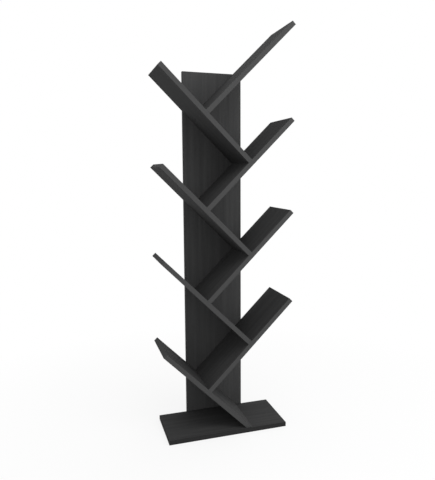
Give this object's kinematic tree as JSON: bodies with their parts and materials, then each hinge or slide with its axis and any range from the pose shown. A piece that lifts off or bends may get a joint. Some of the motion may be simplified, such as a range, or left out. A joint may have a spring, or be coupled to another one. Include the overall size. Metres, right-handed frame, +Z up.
{
  "type": "tree shaped bookshelf",
  "caption": "Tall narrow bookcase whose shelf boards zigzag up a flat upright panel like branches, so books lean in V shaped bays; rests on a flat base.",
  "frame": {"origin": "middle of the base panel's underside, on the floor", "axes": "+Z up, -Y towards the front, +X to the right seen from the front"},
  "size_m": [0.4384, 0.205, 1.3403],
  "materials": {
    "board": "charcoal foil on chipboard, matt, faint wood grain",
    "edging": "charcoal edging tape, satin",
    "zinc_steel": "bright zinc plated",
    "black_steel": "black phosphate",
    "beech": "bare fluted beech",
    "cap_plastic": "moulded, matt"
  },
  "bodies": {
    "root": {"trunk_panel": "board", "base_panel": "board", "left_shelf_1": "board", "right_shelf_1": "board", "left_shelf_2": "board", "right_shelf_2": "board", "left_shelf_3": "board", "right_shelf_3": "board", "left_shelf_4": "board", "right_shelf_4": "board", "trunk_edging": "edging", "base_edging": "edging", "left_edging_1": "edging", "right_edging_1": "edging", "left_edging_2": "edging", "right_edging_2": "edging", "left_edging_3": "edging", "right_edging_3": "edging", "left_edging_4": "edging", "right_edging_4": "edging", "shelf_screws": "zinc_steel", "joint_screws": "zinc_steel", "base_screws": "zinc_steel", "joint_dowels": "beech", "base_dowels": "beech", "joint_caps": "cap_plastic", "foot_screws": "black_steel"}
  },
  "joints": []
}
